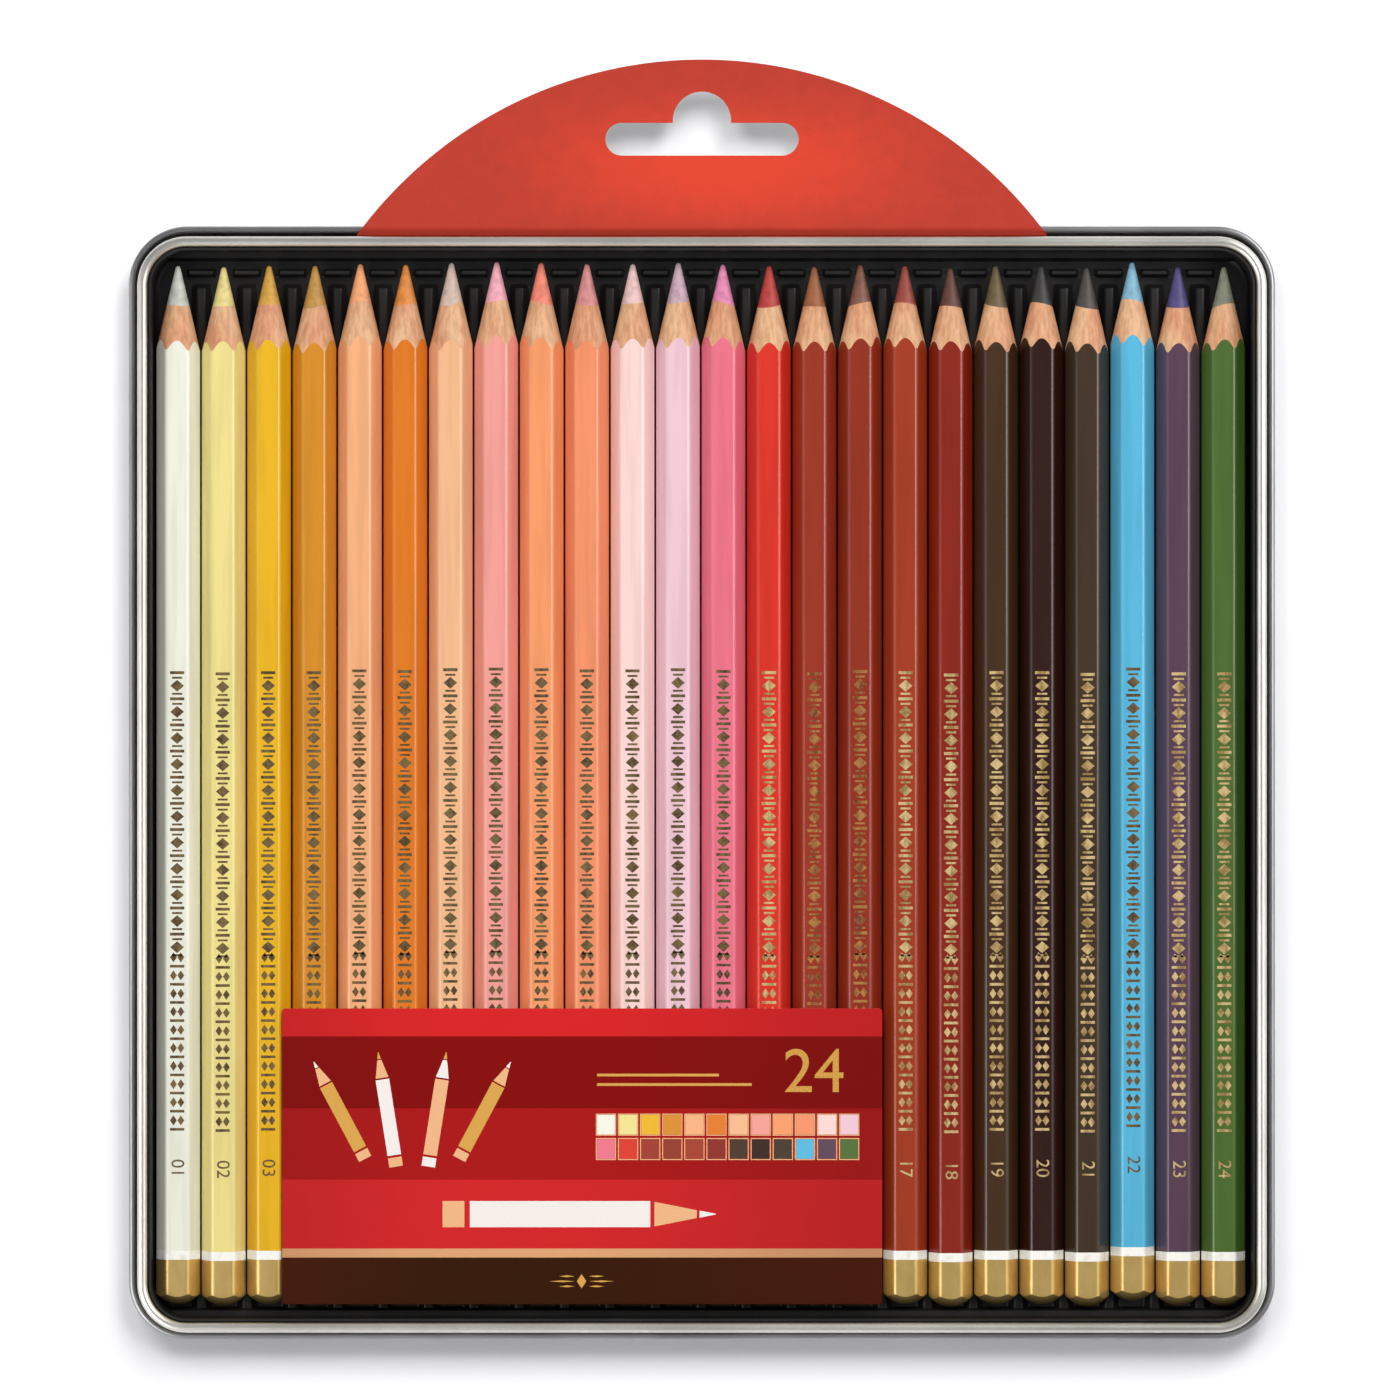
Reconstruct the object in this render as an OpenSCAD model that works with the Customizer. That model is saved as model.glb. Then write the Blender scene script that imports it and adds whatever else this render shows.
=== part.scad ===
// Flat tin of 24 sharpened colouring pencils. The open base stands in its upturned lid, and a card
// hanger runs between the two and comes out over the back. X runs along the row of pencils,
// +Y points the way the tips do, and Z = 0 is the face that the tin lies on.

/* [Pencils] */
// Length from tip to tail
pencil_len = 175; // [150:1:180]
// Width across the flats of the six-sided casing
pencil_flats = 6.7; // [6.2:0.1:7.8]
// Rounding of the casing's long edges
pencil_edge_r = 0.92; // [0.5:0.02:1.4]
// Air between neighbours in the row
pencil_gap = 0.21; // [0.15:0.01:0.6]
// Air under a casing in its groove
groove_air = 0.02; // [0.01:0.01:0.1]
// Diameter of the coloured core
core_d = 3.8; // [2.6:0.1:4.4]
// Glue line between core and casing, on the radius
core_clear = 0.02; // [0.01:0.01:0.06]
// Half angle of the sharpened cone, in degrees
cone_angle = 13.2; // [10:0.1:17]
// Radius of the blunt tip
tip_r = 0.45; // [0.25:0.05:0.8]
// Length of the metallic dip over the tail
dip_len = 7.6; // [5:0.1:12]
// Length of the white ring in front of the dip
ring_len = 1.5; // [0.8:0.1:3]
// How much larger the tail's dome radius is than the casing's corner radius
dome_over = 0.8; // [0.3:0.05:3]
// Radius of the small flat in the middle of the domed tail
tail_flat_r = 0.7; // [0.4:0.05:1.2]
// Depth of lacquer and wood that closes the core's tail
tail_cap = 1.2; // [0.8:0.1:2]

/* [Tray] */
// Thickness of the formed plastic sheet
tray_sheet = 0.4; // [0.3:0.05:0.5]
// Air between tray and base walls, all round
tray_clear = 0.2; // [0.15:0.05:0.4]
// Air under the tray, on the base's floor
tray_air = 0.02; // [0.01:0.01:0.1]
// How far the walls lean in from top to foot
tray_draft = 0.15; // [0.05:0.05:0.25]
// How much larger the tray's foot radius is than the base's inner one
tray_fold_ease = 0.4; // [0.2:0.05:0.6]
// Drop from the tin's rim to the tray's edge
tray_below_rim = 1.0; // [0.5:0.1:2]
// Least air between the row's left end and the tray wall
left_room = 0.44; // [0.2:0.02:2]
// Least air between the row's right end and the tray wall
right_room = 0.84; // [0.2:0.02:2]
// Least air between the outermost tails and the tray's round corners
corner_room = 0.05; // [0.02:0.01:0.5]
// Air between the tips and the front ledge
tip_room = 1.1; // [1.0:0.1:4]
// Air between the tails and the rear ledge
tail_room = 1.1; // [0.9:0.1:4]
// Height of the ledges across both ends, over the tray's underside
ledge_h = 3.2; // [2.4:0.1:4]
// Width of those ledges
ledge_w = 1.2; // [0.9:0.1:2]
// How far each ledge's face leans out at its foot
ledge_foot = 0.3; // [0.1:0.05:0.4]
// Height of the ridges between the grooves
ridge_h = 1.7; // [1.2:0.1:2]
// Width of a ridge's flat top
ridge_top = 1.4; // [1.2:0.1:1.6]
// Distance from the tips back to where the ridges begin
ridge_back = 3; // [2.4:0.1:6]
// Height of the blocks that stand between the tips, over the groove floor
block_h = 2.6; // [1.5:0.1:3.4]
// Width of a block, across the row
block_w = 4.4; // [3:0.1:5]
// Length of a block, along the pencils
block_l = 1.15; // [0.8:0.05:1.6]
// Distance from the tips back to the blocks
block_back = 0.5; // [0.2:0.05:0.7]

/* [Tin base] */
// Height from the underside to the top of the curled rim
base_h = 10.9; // [10.2:0.1:14]
// Thickness of the tinplate
base_sheet = 0.3; // [0.2:0.02:0.36]
// Corner radius inside the walls
base_corner_r = 6.6; // [5:0.1:12]
// Outside radius of the fold between floor and walls
base_fold_r = 1.2; // [0.8:0.05:1.4]
// Diameter of the rim's curl
base_curl_d = 1.7; // [1.3:0.1:2.2]

/* [Lid] */
// Height from the closed face to the top of the curled rim
lid_h = 8.9; // [7:0.1:9.6]
// Thickness of the tinplate
lid_sheet = 0.3; // [0.2:0.02:0.36]
// Outside radius of the fold between face and walls
lid_fold_r = 1.2; // [0.8:0.05:1.4]
// Diameter of the rim's curl
lid_curl_d = 1.2; // [0.8:0.1:1.6]
// Air between the base's rim and the lid's wall, left and right
side_clear = 0.34; // [0.1:0.02:0.8]
// Air between the base's rim and the lid's wall, at the tails
rear_clear = 0.1; // [0.06:0.02:0.8]

/* [Hanger card] */
// Thickness of the card
card_t = 0.4; // [0.3:0.02:0.5]
// Air on each side of the card's leg, between the base's rim and the lid's wall
card_slip = 0.1; // [0.08:0.02:0.3]
// Outside radius of the bend between panel and leg
card_bend_r = 1.6; // [1.4:0.05:2]
// Length of the panel that lies under the base
panel_len = 120; // [60:1:160]
// Corner radius at the panel's free edge
panel_corner_r = 6; // [2:0.5:12]
// Radius of the tab's arched outline
tab_r = 71.8; // [64:0.1:80]
// Rise of the arch over the crease
tab_rise = 29.5; // [27:0.1:34]
// Air between the lid's rim and the tab that passes over it
tab_lift = 0.1; // [0.06:0.02:0.4]
// Length of the hanging slot
slot_w = 32.5; // [24:0.1:40]
// Width of the hanging slot
slot_h = 5.5; // [5:0.1:6.4]
// Distance from the crease to the slot's centre line
slot_rise = 16.1; // [13:0.1:17]
// Radius of the round lobe over the slot
lobe_r = 4.9; // [4.4:0.1:5.6]
// Rise of the lobe's centre over the slot's centre line
lobe_rise = 3.1; // [2:0.1:4]
// Air left where the tab's rounded edge turns on the leg
crease_clear = 0.02; // [0.01:0.01:0.05]

/* [Label card] */
// Width of the card that lies on the pencils
label_w = 101; // [70:1:115]
// Length of that card, along the pencils
label_l = 49.8; // [30:0.1:70]
// Thickness of the card
label_t = 0.3; // [0.2:0.02:0.5]
// Air under the card
label_gap = 0.05; // [0.02:0.01:0.2]
// Distance from the row's left end to the card
label_in = 21.5; // [5:0.5:60]
// Length of the dark band at its lower edge
label_foot_l = 7.9; // [4:0.1:12]
// Width of the light line over that band
label_line_l = 1.5; // [0.5:0.1:3]

/* [Hidden] */
$fn = 96;

// Lacquer and core colours, from the left
paints = [
    [[0.94, 0.94, 0.88], [0.76, 0.77, 0.73]], // white
    [[0.93, 0.87, 0.55], [0.87, 0.80, 0.52]], // cream yellow
    [[0.92, 0.70, 0.14], [0.80, 0.61, 0.24]], // golden yellow
    [[0.84, 0.55, 0.17], [0.73, 0.54, 0.25]], // ochre
    [[0.95, 0.68, 0.48], [0.91, 0.62, 0.41]], // apricot
    [[0.88, 0.48, 0.14], [0.85, 0.52, 0.22]], // orange
    [[0.95, 0.72, 0.54], [0.80, 0.70, 0.64]], // pale flesh
    [[0.94, 0.62, 0.58], [0.91, 0.64, 0.69]], // pink
    [[0.95, 0.61, 0.41], [0.91, 0.50, 0.42]], // salmon
    [[0.94, 0.57, 0.41], [0.81, 0.53, 0.52]], // coral
    [[0.98, 0.83, 0.80], [0.88, 0.73, 0.71]], // shell
    [[0.93, 0.76, 0.81], [0.75, 0.63, 0.68]], // pale lilac
    [[0.91, 0.45, 0.52], [0.86, 0.51, 0.67]], // rose
    [[0.84, 0.22, 0.16], [0.70, 0.23, 0.20]], // red
    [[0.61, 0.22, 0.16], [0.59, 0.35, 0.21]], // burnt red
    [[0.57, 0.21, 0.14], [0.47, 0.30, 0.24]], // chestnut
    [[0.63, 0.24, 0.15], [0.57, 0.25, 0.20]], // brick
    [[0.54, 0.17, 0.12], [0.36, 0.22, 0.18]], // dark red brown
    [[0.28, 0.20, 0.14], [0.38, 0.33, 0.21]], // umber
    [[0.21, 0.13, 0.10], [0.21, 0.20, 0.19]], // dark brown
    [[0.27, 0.21, 0.16], [0.28, 0.26, 0.24]], // grey brown
    [[0.35, 0.72, 0.85], [0.50, 0.69, 0.78]], // sky blue
    [[0.36, 0.26, 0.33], [0.29, 0.26, 0.46]], // violet
    [[0.31, 0.43, 0.20], [0.48, 0.49, 0.42]], // olive green
];
// How far each pencil lies in front of its nominal place in its groove
end_play = [
    -0.1, -0.3, -0.1, -0.1, 0.2, 0.1, 0.4, 0.5, 0.4, 0.2, 0.2, 0.4,
    0.1, -0.1, -0.3, 0.1, -0.1, -0.5, -0.1, -0.1, -0.4, 0.5, -0.3, -0.3
];
tinplate = [0.72, 0.71, 0.68];
tray_black = [0.09, 0.09, 0.10];
card_red = [0.83, 0.29, 0.21];
label_red = [0.66, 0.12, 0.13];
label_dark = [0.20, 0.11, 0.02];
label_line = [0.88, 0.71, 0.51];
bare_wood = [0.76, 0.56, 0.42];
dip_gold = [0.68, 0.57, 0.32];
ring_white = [0.94, 0.94, 0.88];

// Small overlap that lets a cutting shape pass through a face
through = 1;
// How far the casing's flats lie under its rounded edges, as the lacquer leaves them
flat_sink = 0.004;
// How far the ledges' ends stop inside the wall's outer face
ledge_in = 0.05;
// The tray's width is rounded up to this step, as on a die drawing
size_step = 0.02;
// Directions between which a curled edge stays open, seen from the curl's centre
curl_open = [180, 236];

// The casing's section
pencil_count = len(paints);
corner_r = pencil_flats / 2 / cos(30);
edge_centre_r = corner_r - pencil_edge_r / cos(30);
pencil_w = 2 * (edge_centre_r + pencil_edge_r);
pitch = pencil_w + pencil_gap;
row_w = pencil_count * pitch;
dome_r = corner_r + dome_over;
dome_at = sqrt(dome_r * dome_r - tail_flat_r * tail_flat_r);

// The sharpened cone is tangent to the round tip
tip_ring_r = tip_r * cos(cone_angle);
tip_ring_at = pencil_len - tip_r + tip_r * sin(cone_angle);
cone_len = (dome_r - tip_ring_r) / tan(cone_angle);

// Heights, from the face that the tin lies on
base_z = lid_sheet + card_t;
tray_z = base_z + base_sheet + tray_air;
tray_h = base_h - base_sheet - tray_air - tray_below_rim;
axis_z = tray_z + tray_sheet + groove_air + pencil_flats / 2;
label_z = axis_z + pencil_flats / 2 + label_gap;
crease_z = lid_h + tab_lift + card_t / 2;

// Plan sizes, from the row of pencils outwards
tray_corner_r = base_corner_r - tray_clear;
tray_fold_r = base_fold_r - base_sheet + tray_fold_ease;
left_air = max(left_room, corner_air(end_play[0]));
right_air = max(right_room, corner_air(end_play[pencil_count - 1]));
tray_w = size_step * ceil((row_w + left_air + right_air + 2 * tray_sheet) / size_step);
tray_l = pencil_len + tip_room + tail_room + 2 * ledge_w + 2 * tray_sheet;
base_w = tray_w + 2 * tray_clear;
base_l = tray_l + 2 * tray_clear;
leg_clear = card_t + 2 * card_slip;
lid_w = base_w + 2 * base_curl_d + 2 * side_clear;
lid_l = base_l + 2 * base_curl_d + leg_clear + rear_clear;
lid_corner_r = base_corner_r + base_curl_d + side_clear;

// Places in plan
row_x = (row_w - tray_w) / 2 + tray_sheet + left_air;
tips_y = tray_l / 2 - tray_sheet - ledge_w - tip_room;
tails_y = tips_y - pencil_len;
ridge_from = -tray_l / 2 + tray_sheet + ledge_w;
ridge_to = tips_y - ridge_back;
lid_y = (leg_clear - rear_clear) / 2;
leg_y = lid_y + lid_l / 2 - card_slip - card_t / 2;
tab_half_w = sqrt(2 * tab_r * tab_rise - tab_rise * tab_rise);

function two_digits(i) = str(i < 10 ? "0" : "", i);
function casing_name(i) = str("pencil_", two_digits(i), "_casing");
function core_name(i) = str("pencil_", two_digits(i), "_core");
function pencil_x(i) = row_x + (i - (pencil_count + 1) / 2) * pitch;

// Air beside the row that keeps an outermost tail clear of the tray's round corner: the tail reaches
// its full width at the shoulder of its dome, and the shoulder may lie beside the corner
function corner_air(play) =
    let(shoulder = dome_at - sqrt(dome_r * dome_r - pencil_w * pencil_w / 4))
    let(inside_r = tray_corner_r - tray_sheet - tray_draft)
    let(into = max(0, tray_corner_r - tray_sheet - ledge_w - tail_room - play - shoulder))
    inside_r - sqrt(max(0, pow(inside_r - corner_room, 2) - into * into));

// Quarter of a disc, in the corner between +X and +Y
module quarter_disc(r) {
    intersection() {
        circle(r = r);
        square(r);
    }
}

// Rectangle with round corners, centred
module round_rect(w, l, r) {
    square([w - 2 * r, l], center = true);
    square([w, l - 2 * r], center = true);
    for (x = [0, 1], y = [0, 1])
        mirror([x, 0, 0])
            mirror([0, y, 0])
                translate([w / 2 - r, l / 2 - r])
                    quarter_disc(r);
}

// Sweeps a section round such a rectangle: x = 0 of the section lies on the outline, +x points out
module around(w, l, r) {
    for (side = [0 : 3]) {
        run = (side % 2 == 0 ? l : w) - 2 * r;
        reach = (side % 2 == 0 ? w : l) / 2;
        rotate(90 * side) {
            translate([reach, run / 2, 0])
                rotate([90, 0, 0])
                    linear_extrude(run)
                        children();
            translate([reach - r, run / 2, 0])
                rotate_extrude(angle = 90)
                    translate([r, 0])
                        children();
        }
    }
}

// Quarter of a bent sheet, from a floor at z = 0 up to a wall whose outer face is at x = 0
module fold_section(r, sheet) {
    translate([-r, r])
        mirror([0, 1, 0])
            difference() {
                quarter_disc(r);
                circle(r = r - sheet);
            }
}

// Sheet edge rolled outwards from a wall whose inner face is at x = 0, with its top at z = 0
module curl_section(d, sheet) {
    translate([d / 2, -d / 2])
        difference() {
            circle(d = d);
            circle(d = d - 2 * sheet);
            polygon([[0, 0], for (a = curl_open) d * [cos(a), sin(a)]]);
        }
}

// Pressed pan: flat floor, bent foot, upright walls and a rim that is curled outwards
module pan(w, l, h, corner_r, sheet, fold_r, curl_d) {
    foot_in = fold_r - sheet;
    linear_extrude(sheet)
        round_rect(w - 2 * foot_in, l - 2 * foot_in, corner_r - foot_in);
    around(w, l, corner_r) {
        translate([sheet, 0])
            fold_section(fold_r, sheet);
        translate([0, fold_r])
            square([sheet, h - fold_r - curl_d / 2]);
        translate([0, h])
            curl_section(curl_d, sheet);
    }
}

module tin_lid() {
    color(tinplate)
        translate([0, lid_y, 0])
            pan(lid_w, lid_l, lid_h, lid_corner_r, lid_sheet, lid_fold_r, lid_curl_d);
}

module tin_base() {
    color(tinplate)
        translate([0, 0, base_z])
            pan(base_w, base_l, base_h, base_corner_r, base_sheet, base_fold_r, base_curl_d);
}

// Card that lies between lid and base, bends up inside the lid's rear wall and ends under the crease
module hang_card() {
    leg_face = leg_y + card_t / 2;
    panel_from = leg_face - card_bend_r;
    leg_top = crease_z - card_t / 2 - crease_clear;
    color(card_red) {
        translate([0, panel_from, lid_sheet])
            linear_extrude(card_t)
                intersection() {
                    translate([0, -panel_len / 2])
                        square([2 * tab_half_w, panel_len], center = true);
                    round_rect(2 * tab_half_w, 2 * panel_len, panel_corner_r);
                }
        translate([-tab_half_w, leg_face, lid_sheet])
            rotate([90, 0, 90])
                linear_extrude(2 * tab_half_w) {
                    fold_section(card_bend_r, card_t);
                    translate([-card_t, card_bend_r])
                        square([card_t, leg_top - lid_sheet - card_bend_r]);
                }
    }
}

// Arched tab with a slot for a display hook, which turns on the crease
module hang_tab() {
    color(card_red)
        translate([0, leg_y, crease_z]) {
            rotate([0, 90, 0])
                cylinder(d = card_t, h = 2 * tab_half_w, center = true);
            translate([0, 0, -card_t / 2])
                linear_extrude(card_t)
                    difference() {
                        intersection() {
                            translate([0, tab_rise - tab_r])
                                circle(r = tab_r, $fn = 180);
                            translate([-tab_r, 0])
                                square([2 * tab_r, tab_rise + through]);
                        }
                        hanging_slot();
                    }
        }
}

// Long slot with round ends and a lobe that centres the hook
module hanging_slot() {
    end_r = slot_h / 2;
    translate([0, slot_rise]) {
        square([slot_w - 2 * end_r, slot_h], center = true);
        for (x = [-1, 1])
            translate([x * (slot_w / 2 - end_r), 0])
                circle(r = end_r);
        translate([0, lobe_rise])
            circle(r = lobe_r);
    }
}

// Ridge between two grooves: its faces lean like the casings' lower flats
module ridge_section(top, h) {
    foot = top + 2 * h / tan(60);
    polygon([[-foot / 2, 0], [foot / 2, 0], [top / 2, h], [-top / 2, h]]);
}

// Bars along Y between each pair of neighbouring pencils
module between_pencils(from, to) {
    for (i = [1 : pencil_count - 1])
        translate([(pencil_x(i) + pencil_x(i + 1)) / 2, to, 0])
            rotate([90, 0, 0])
                linear_extrude(to - from)
                    children();
}

// Formed end of the tray: the sheet climbs from the floor to a ledge, which runs out to the wall
module ledge() {
    face = tray_sheet + ledge_w;
    under = face - tray_sheet;
    translate([-tray_w / 2, tray_l / 2, 0])
        rotate([90, 0, 90])
            linear_extrude(tray_w)
                polygon([
                    [0, ledge_h], [-face, ledge_h], [-face - ledge_foot, 0],
                    [-under - ledge_foot, 0], [-under, ledge_h - tray_sheet], [0, ledge_h - tray_sheet]
                ]);
}

// Space under a ledge, which the sheet leaves open
module ledge_hollow() {
    translate([-tray_w / 2 - through, tray_l / 2 - ledge_w - ledge_foot, -through])
        cube([tray_w + 2 * through, tray_l, ledge_h - tray_sheet + through]);
}

// Both ends of the tray are alike
module both_ends() {
    for (y = [0, 1])
        mirror([0, y, 0])
            children();
}

// Section through the space inside the tray's walls, as a band of a corner's width: it follows the
// bend of the foot in steps that stay within the sheet
module inside_section() {
    edge = -tray_draft - ledge_in;
    polygon([
        [-tray_corner_r, tray_h], [-tray_corner_r, 0],
        for (a = [0 : 30 : 90])
            [edge + tray_fold_r * (sin(a) - 1), tray_fold_r * (1 - cos(a))],
        [edge, tray_h]
    ]);
}

// Tray wall: it leans in from its upper edge to the foot
module tray_wall_section() {
    translate([-tray_draft, 0])
        fold_section(tray_fold_r, tray_sheet);
    polygon([
        [-tray_draft, tray_fold_r], [0, tray_h],
        [-tray_sheet, tray_h], [-tray_draft - tray_sheet, tray_fold_r]
    ]);
}

// Formed tray with a groove for each pencil, a ledge across both ends and blocks between the tips
module inner_tray() {
    foot_in = tray_draft + tray_fold_r;
    crown = ridge_h + tray_sheet;
    hollow_top = ridge_top - 2 * tray_sheet / tan(60);
    color(tray_black)
        translate([0, 0, tray_z]) {
            difference() {
                union() {
                    around(tray_w, tray_l, tray_corner_r)
                        tray_wall_section();
                    linear_extrude(tray_sheet)
                        round_rect(tray_w - 2 * foot_in, tray_l - 2 * foot_in, tray_corner_r - foot_in);
                    between_pencils(ridge_from, ridge_to)
                        ridge_section(ridge_top, crown);
                }
                both_ends()
                    ledge_hollow();
                between_pencils(ridge_from + tray_sheet, ridge_to - tray_sheet)
                    ridge_section(hollow_top, crown - tray_sheet);
            }
            intersection() {
                around(tray_w, tray_l, tray_corner_r)
                    inside_section();
                both_ends()
                    ledge();
            }
            for (i = [1 : pencil_count - 1])
                translate([(pencil_x(i) + pencil_x(i + 1) - block_w) / 2, tips_y - block_back - block_l, 0])
                    cube([block_w, block_l, tray_sheet + block_h]);
        }
}

// Card that lies over the middle of the row
module label_card() {
    foot = [0, label_foot_l, label_dark];
    line = [label_foot_l, label_line_l, label_line];
    field = [label_foot_l + label_line_l, label_l - label_foot_l - label_line_l, label_red];
    translate([row_x - row_w / 2 + label_in, tails_y, label_z])
        for (band = [foot, line, field])
            color(band[2])
                translate([0, band[0], 0])
                    cube([label_w, band[1], label_t]);
}

// Six-sided section with rounded edges and a flat on top
module casing_section() {
    polygon([
        for (k = [0 : 5], turn = [-30, 30])
            edge_centre_r * [cos(60 * k), sin(60 * k)]
                + (pencil_edge_r - flat_sink) * [cos(60 * k + turn), sin(60 * k + turn)]
    ]);
    for (k = [0 : 5])
        rotate(60 * k)
            translate([edge_centre_r, 0])
                circle(r = pencil_edge_r);
}

// Round envelope of a sharpened pencil that stands on its tail: domed tail, cone and blunt tip
module turned_envelope() {
    cone_at = tip_ring_at - cone_len;
    translate([0, 0, dome_at])
        sphere(r = dome_r);
    translate([0, 0, dome_at])
        cylinder(r = dome_r, h = cone_at - dome_at);
    color(bare_wood)
        translate([0, 0, cone_at])
            cylinder(r1 = dome_r, r2 = tip_ring_r, h = cone_len);
    translate([0, 0, pencil_len - tip_r])
        sphere(r = tip_r);
}

// Length of casing between two heights over the tail
module casing_length(from, to) {
    translate([0, 0, from])
        linear_extrude(to - from)
            casing_section();
}

// Lays an upright pencil in groove i
module in_groove(i) {
    translate([pencil_x(i), tails_y + end_play[i - 1], axis_z])
        rotate([-90, 0, 0])
            children();
}

// Wooden casing with its lacquer, white ring and metallic dip
module pencil_casing(i) {
    in_groove(i)
        difference() {
            intersection() {
                union() {
                    color(dip_gold)
                        casing_length(0, dip_len);
                    color(ring_white)
                        casing_length(dip_len, dip_len + ring_len);
                    color(paints[i - 1][0])
                        casing_length(dip_len + ring_len, pencil_len);
                }
                turned_envelope();
            }
            color(bare_wood)
                translate([0, 0, tail_cap])
                    cylinder(d = core_d + 2 * core_clear, h = pencil_len);
        }
}

// Coloured core, sharpened with its casing
module pencil_core(i) {
    color(paints[i - 1][1])
        in_groove(i)
            intersection() {
                translate([0, 0, tail_cap])
                    cylinder(d = core_d, h = pencil_len);
                turned_envelope();
            }
}

tin_lid();
hang_card();
hang_tab();
tin_base();
inner_tray();
label_card();
for (i = [1 : pencil_count]) {
    pencil_casing(i);
    pencil_core(i);
}
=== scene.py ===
import bmesh
import bpy
import numpy as np
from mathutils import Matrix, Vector


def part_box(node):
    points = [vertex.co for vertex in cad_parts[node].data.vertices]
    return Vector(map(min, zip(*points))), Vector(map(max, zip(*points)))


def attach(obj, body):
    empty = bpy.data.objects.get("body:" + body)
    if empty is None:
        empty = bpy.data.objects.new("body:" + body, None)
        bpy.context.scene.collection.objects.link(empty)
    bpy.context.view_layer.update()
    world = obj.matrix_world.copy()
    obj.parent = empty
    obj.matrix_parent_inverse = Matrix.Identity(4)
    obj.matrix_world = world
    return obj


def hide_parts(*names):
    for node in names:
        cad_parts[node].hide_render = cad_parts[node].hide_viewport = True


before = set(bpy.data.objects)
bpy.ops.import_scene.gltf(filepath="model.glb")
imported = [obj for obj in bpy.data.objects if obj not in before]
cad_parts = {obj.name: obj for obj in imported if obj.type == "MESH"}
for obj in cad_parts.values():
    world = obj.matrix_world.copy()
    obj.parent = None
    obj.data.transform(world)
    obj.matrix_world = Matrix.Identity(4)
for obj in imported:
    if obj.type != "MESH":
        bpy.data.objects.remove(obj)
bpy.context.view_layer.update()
mm = 0.001

# The room: a camera straight over the tin, and a pale floor round it. Two soft key lights stand behind
# the tin, a dim wall of light on each of its four sides, and a strip at the left and right draws the
# lines on round edges.

view_width = 235.6 * mm
view_distance = 1.6
view_shift = -0.12 * mm
view_up = 14.2 * mm
room_tone = (0.24, 0.24, 0.25, 1)
floor_reach = 4.0
floor_drop = 0.01 * mm
floor_tone = (249, 249, 251)
floor_glow = 1.3
glow_share = 0.08
window_inset = 6 * mm


class Wire:
    """A socket of a material: arithmetic on it adds Math nodes, and node() adds any other node."""

    def __init__(self, tree, socket=None):
        self.tree = tree
        self.socket = socket

    def node(self, kind, sockets=None, out=0, **settings):
        """Adds a node: first its settings, then values or wires for its sockets."""
        made = self.tree.nodes.new("ShaderNode" + kind)
        for name, value in settings.items():
            setattr(made, name, value)
        for name, value in (sockets or {}).items():
            if isinstance(value, Wire):
                self.tree.links.new(value.socket, made.inputs[name])
            else:
                made.inputs[name].default_value = value
        return Wire(self.tree, None if out is None else made.outputs[out])

    def maths(self, operation, *values):
        return self.node("Math", dict(enumerate(values)), operation=operation)

    def __add__(self, other):
        return self.maths("ADD", self, other)

    def __sub__(self, other):
        return self.maths("SUBTRACT", self, other)

    def __rsub__(self, other):
        return self.maths("SUBTRACT", other, self)

    def __mul__(self, other):
        return self.maths("MULTIPLY", self, other)

    __radd__ = __add__

    def step(self, low, high):
        """0 below low and 1 above high, with a smooth rise between them."""
        return self.node("MapRange", {"Value": self, "From Min": low, "From Max": high},
                         interpolation_type="SMOOTHSTEP")

    def mix(self, low, high):
        """A colour between two others, by this value. Mix has sockets of one name, so they go by number."""
        return self.node("Mix", {0: self, 6: low, 7: high}, out=2, data_type="RGBA")

    def millimetres(self, scale=(1, 1, 1)):
        """The place on the piece in millimetres, times a scale for each axis."""
        place = self.node("TexCoord", out="Object")
        return self.node("Mapping", {"Vector": place, "Scale": Vector(scale) / mm})

    def noise(self, scale, detail=3, roughness=0.5):
        """Cloudy values about 0.5; scale is the number of clouds per millimetre along each axis."""
        return self.node("TexNoise", {"Vector": self.millimetres(scale), "Scale": 1,
                                      "Detail": detail, "Roughness": roughness})

    def along(self, axis):
        """The place along one axis, in millimetres."""
        return self.node("SeparateXYZ", {0: self.millimetres()}, out=axis)

    def bump(self, height, strength, depth):
        """Normal of a surface that the height in 0 to 1 raises by up to a depth in millimetres."""
        return self.node("Bump", {"Height": height, "Strength": strength, "Distance": depth * mm})


def paint(red, green, blue):
    """Linear colour, from the 0 to 255 levels that it shows on a screen."""
    level = np.array([red, green, blue]) / 255
    linear = np.where(level > 0.04045, ((level + 0.055) / 1.055) ** 2.4, level / 12.92)
    return (*linear.tolist(), 1.0)


def light(name, place, size, radiance, aim=(0, 0, 0)):
    """Rectangular lamp that faces a point: its power is pi times radiance times area."""
    lamp = bpy.data.lights.new(name, "AREA")
    lamp.shape = "RECTANGLE"
    lamp.size, lamp.size_y = size
    lamp.energy = np.pi * radiance * size[0] * size[1]
    panel = bpy.data.objects.new(name, lamp)
    panel.location = place
    panel.rotation_euler = (Vector(aim) - Vector(place)).to_track_quat("-Z", "Y").to_euler()
    panel.visible_camera = False
    bpy.context.scene.collection.objects.link(panel)
    return panel


def rectangle(x, y, wide, tall):
    """Corners of a rectangle, anticlockwise from the lower left one."""
    return [[x, y], [x + wide, y], [x + wide, y + tall], [x, y + tall]]


row_low, row_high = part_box("pencil_01_casing")[0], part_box("pencil_24_casing")[1]
lens = bpy.data.cameras.new("overhead_camera")
lens.sensor_width = 36
lens.lens = lens.sensor_width * view_distance / view_width
camera = bpy.data.objects.new("overhead_camera", lens)
camera.location = ((row_low.x + row_high.x) / 2 + view_shift, view_up, row_high.z + view_distance)
bpy.context.scene.collection.objects.link(camera)
bpy.context.scene.camera = camera
bpy.context.scene.view_settings.view_transform = "Standard"

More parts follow.
